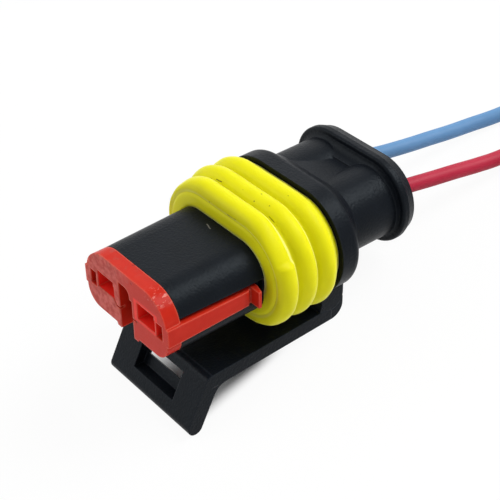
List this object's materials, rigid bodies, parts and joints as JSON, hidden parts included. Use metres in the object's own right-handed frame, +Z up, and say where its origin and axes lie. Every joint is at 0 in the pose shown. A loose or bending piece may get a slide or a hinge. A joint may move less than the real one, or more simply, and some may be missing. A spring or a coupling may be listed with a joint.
{
  "type": "sealed automotive connector",
  "caption": "Sealed wire-to-wire plug connector with sprung latch, slide-in secondary lock, ribbed interface seal and insulated wire leads",
  "frame": {"origin": "on the table, under the middle of the plug without its leads", "axes": "+Z up; +Y to the rear of the plug, where the leads leave; +X across the plug, to the side of the red lead"},
  "size_m": [0.0356, 0.0607, 0.016],
  "materials": {
    "black_plastic": "satin moulded nylon, fine even texture",
    "red_plastic": "semi-gloss moulded polyester, slightly frosted front",
    "yellow_silicone": "silicone rubber, soft sheen, slightly translucent",
    "tinned_copper": "stamped copper alloy with bright tin plating",
    "bare_copper": "bright stranded copper",
    "blue_insulation": "smooth extruded PVC",
    "red_insulation": "smooth extruded PVC",
    "black_nylon": "moulded nylon"
  },
  "bodies": {
    "plug": {"housing": "black_plastic", "interface_seal": "yellow_silicone", "blue_terminal": "tinned_copper", "red_terminal": "tinned_copper", "blue_wire_seal": "yellow_silicone", "red_wire_seal": "yellow_silicone", "blue_crimped_core": "bare_copper", "red_crimped_core": "bare_copper", "blue_lead": "blue_insulation", "red_lead": "red_insulation", "blue_coil": "blue_insulation", "red_coil": "red_insulation", "blue_bare_end": "bare_copper", "red_bare_end": "bare_copper", "coil_tie": "black_nylon"},
    "latch": {"latch": "black_plastic"},
    "lock": {"secondary_lock": "red_plastic"}
  },
  "joints": [
    {"name": "latch_flex", "type": "hinge", "parent": "plug", "child": "latch", "pos_m": [0, 0.00326, 0.00239], "axis": [1, 0, 0], "range_deg": [0, 7], "stiffness_Nm_per_rad": 0.3},
    {"name": "lock_slide", "type": "slide", "parent": "plug", "child": "lock", "axis": [0, -0.9594, 0.2821], "range_m": [0, 0.0015]}
  ]
}
